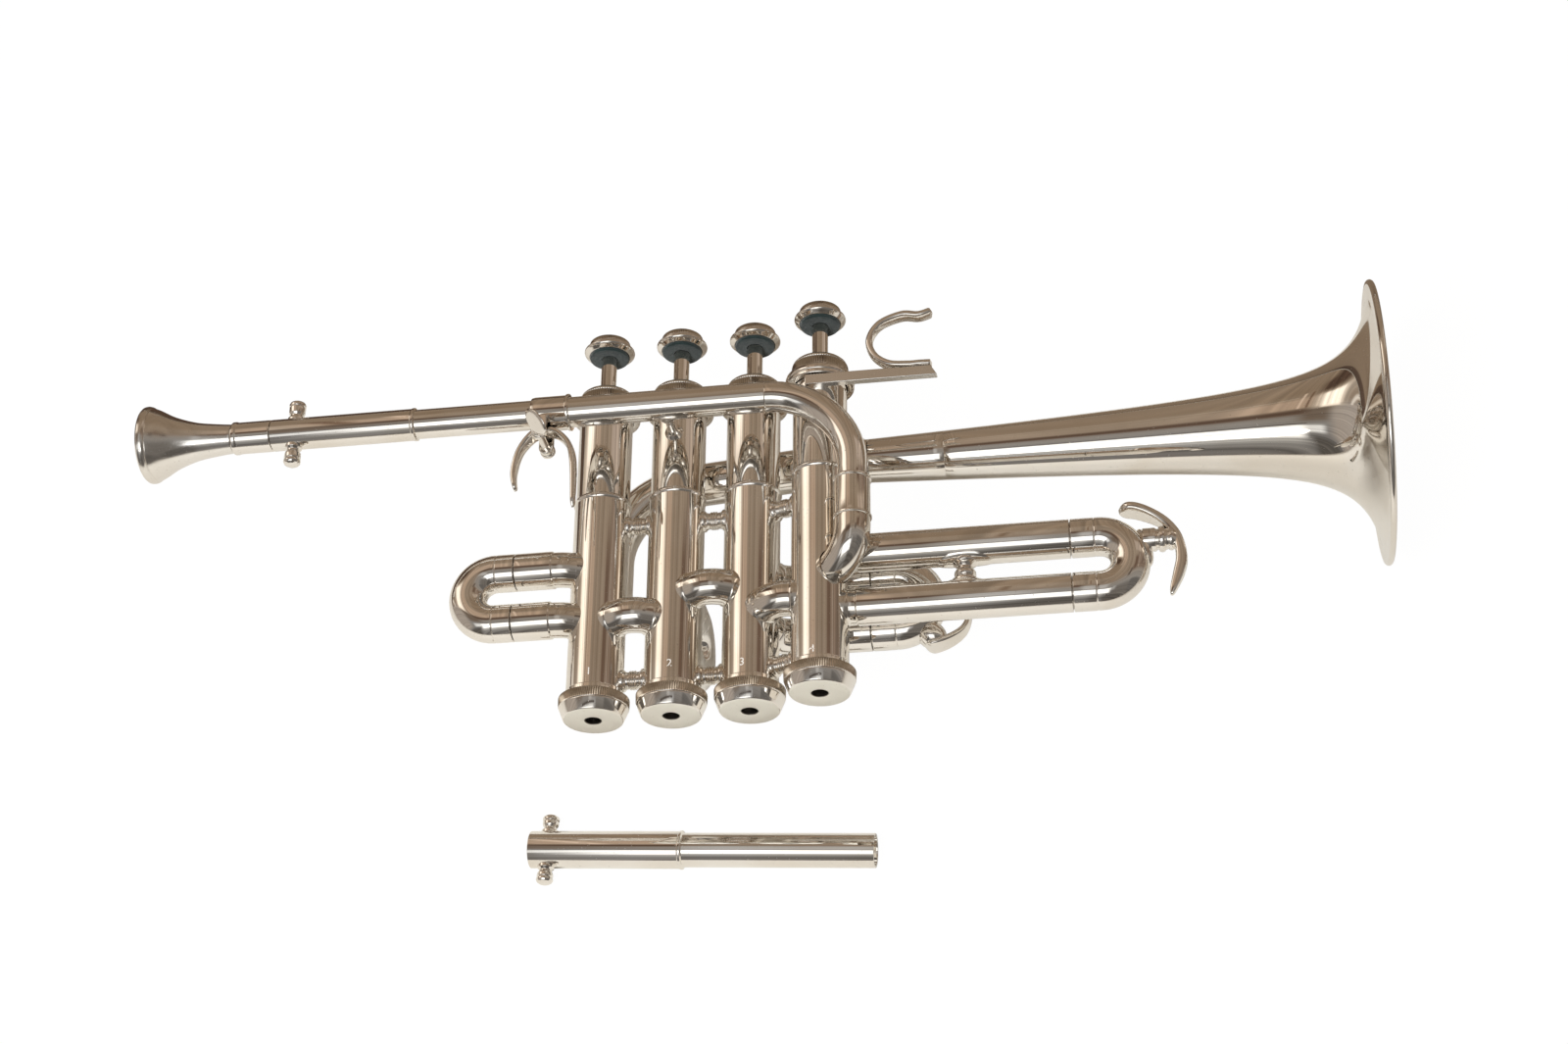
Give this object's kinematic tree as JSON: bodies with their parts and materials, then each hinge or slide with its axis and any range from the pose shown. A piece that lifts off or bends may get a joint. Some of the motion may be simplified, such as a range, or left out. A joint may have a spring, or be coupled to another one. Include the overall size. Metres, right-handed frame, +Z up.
{
  "type": "piccolo trumpet",
  "caption": "Small trumpet with piston valves, a detachable tuning shank with mouthpiece, pull-out valve slides, finger hooks and a loose spare shank.",
  "frame": {"origin": "on the table under the middle of the part's box", "axes": "+X from the mouthpiece to the bell, +Y from the bottom caps to the finger buttons, +Z up from the table; the trumpet lies on its side"},
  "size_m": [0.4222, 0.184, 0.1107],
  "materials": {
    "polished_nickel": "mirror-polished silver plate",
    "piston_metal": "lapped nickel alloy",
    "spring_wire": "plain spring wire",
    "green_felt": "dense felt"
  },
  "bodies": {
    "trumpet": {"valve_casing_1": "polished_nickel", "bottom_cap_1": "polished_nickel", "top_cap_1": "polished_nickel", "valve_spring_1": "spring_wire", "slide_1_upper_leg": "polished_nickel", "slide_1_lower_leg": "polished_nickel", "valve_casing_2": "polished_nickel", "bottom_cap_2": "polished_nickel", "top_cap_2": "polished_nickel", "valve_spring_2": "spring_wire", "slide_2_upper_leg": "polished_nickel", "slide_2_lower_leg": "polished_nickel", "valve_casing_3": "polished_nickel", "bottom_cap_3": "polished_nickel", "top_cap_3": "polished_nickel", "valve_spring_3": "spring_wire", "slide_3_upper_leg": "polished_nickel", "slide_3_lower_leg": "polished_nickel", "valve_casing_4": "polished_nickel", "bottom_cap_4": "polished_nickel", "top_cap_4": "polished_nickel", "valve_spring_4": "spring_wire", "slide_4_upper_leg": "polished_nickel", "slide_4_lower_leg": "polished_nickel", "knuckle_1_2": "polished_nickel", "knuckle_2_3": "polished_nickel", "knuckle_3_4": "polished_nickel", "fourth_slide_brace": "polished_nickel", "leadpipe": "polished_nickel", "leadpipe_elbow": "polished_nickel", "thumb_saddle": "polished_nickel", "bell": "polished_nickel", "bell_bow": "polished_nickel", "hook_bar": "polished_nickel", "pinky_hook": "polished_nickel", "leadpipe_post": "polished_nickel", "bell_post": "polished_nickel"},
    "tuning_shank": {"tuning_shank": "polished_nickel"},
    "mouthpiece_adapter": {"mouthpiece_adapter": "polished_nickel"},
    "mouthpiece": {"mouthpiece": "polished_nickel"},
    "clamp_screw": {"clamp_screw": "polished_nickel"},
    "spare_shank": {"spare_shank": "polished_nickel"},
    "plunger_1": {"piston_1": "piston_metal", "finger_button_1": "polished_nickel", "button_felt_1": "green_felt"},
    "slide_1": {"slide_1_crook": "polished_nickel"},
    "plunger_2": {"piston_2": "piston_metal", "finger_button_2": "polished_nickel", "button_felt_2": "green_felt"},
    "slide_2": {"slide_2_crook": "polished_nickel"},
    "plunger_3": {"piston_3": "piston_metal", "finger_button_3": "polished_nickel", "button_felt_3": "green_felt"},
    "slide_3": {"slide_3_crook": "polished_nickel", "third_slide_hook": "polished_nickel"},
    "plunger_4": {"piston_4": "piston_metal", "finger_button_4": "polished_nickel", "button_felt_4": "green_felt"},
    "slide_4": {"slide_4_crook": "polished_nickel", "fourth_slide_hook": "polished_nickel"}
  },
  "joints": [
    {"name": "valve_1_press", "type": "slide", "parent": "trumpet", "child": "plunger_1", "axis": [0, -1, 0], "range_m": [0, 0.0105], "stiffness_N_per_m": 120, "springref_m": -0.015, "deforming": ["valve_spring_1"]},
    {"name": "valve_2_press", "type": "slide", "parent": "trumpet", "child": "plunger_2", "axis": [0, -1, 0], "range_m": [0, 0.0105], "stiffness_N_per_m": 120, "springref_m": -0.015, "deforming": ["valve_spring_2"]},
    {"name": "valve_3_press", "type": "slide", "parent": "trumpet", "child": "plunger_3", "axis": [0, -1, 0], "range_m": [0, 0.0105], "stiffness_N_per_m": 120, "springref_m": -0.015, "deforming": ["valve_spring_3"]},
    {"name": "valve_4_press", "type": "slide", "parent": "trumpet", "child": "plunger_4", "axis": [0, -1, 0], "range_m": [0, 0.0105], "stiffness_N_per_m": 120, "springref_m": -0.015, "deforming": ["valve_spring_4"]},
    {"name": "slide_1_pull", "type": "slide", "parent": "trumpet", "child": "slide_1", "axis": [-1, 0, 0], "range_m": [0, 0.009]},
    {"name": "slide_2_pull", "type": "slide", "parent": "trumpet", "child": "slide_2", "axis": [0, 0, -1], "range_m": [0, 0.009]},
    {"name": "slide_3_pull", "type": "slide", "parent": "trumpet", "child": "slide_3", "axis": [1, 0, 0], "range_m": [0, 0.016]},
    {"name": "slide_4_pull", "type": "slide", "parent": "trumpet", "child": "slide_4", "axis": [1, 0, 0], "range_m": [0, 0.05]},
    {"name": "shank_pull", "type": "slide", "parent": "trumpet", "child": "tuning_shank", "axis": [-1, 0, 0], "range_m": [0, 0.01]},
    {"name": "adapter_pull", "type": "slide", "parent": "tuning_shank", "child": "mouthpiece_adapter", "axis": [-1, 0, 0], "range_m": [0, 0.008]},
    {"name": "mouthpiece_pull", "type": "slide", "parent": "mouthpiece_adapter", "child": "mouthpiece", "axis": [-1, 0, 0], "range_m": [0, 0.009]},
    {"name": "clamp_turn", "type": "hinge", "parent": "trumpet", "child": "clamp_screw", "pos_m": [-0.06974, 0.03549, 0.092], "axis": [0, 0, 1], "range_deg": [0, 180]},
    {"name": "spare_shank_lift", "type": "slide", "parent": "trumpet", "child": "spare_shank", "axis": [0, 0, 1], "range_m": [0, 0.05]}
  ]
}
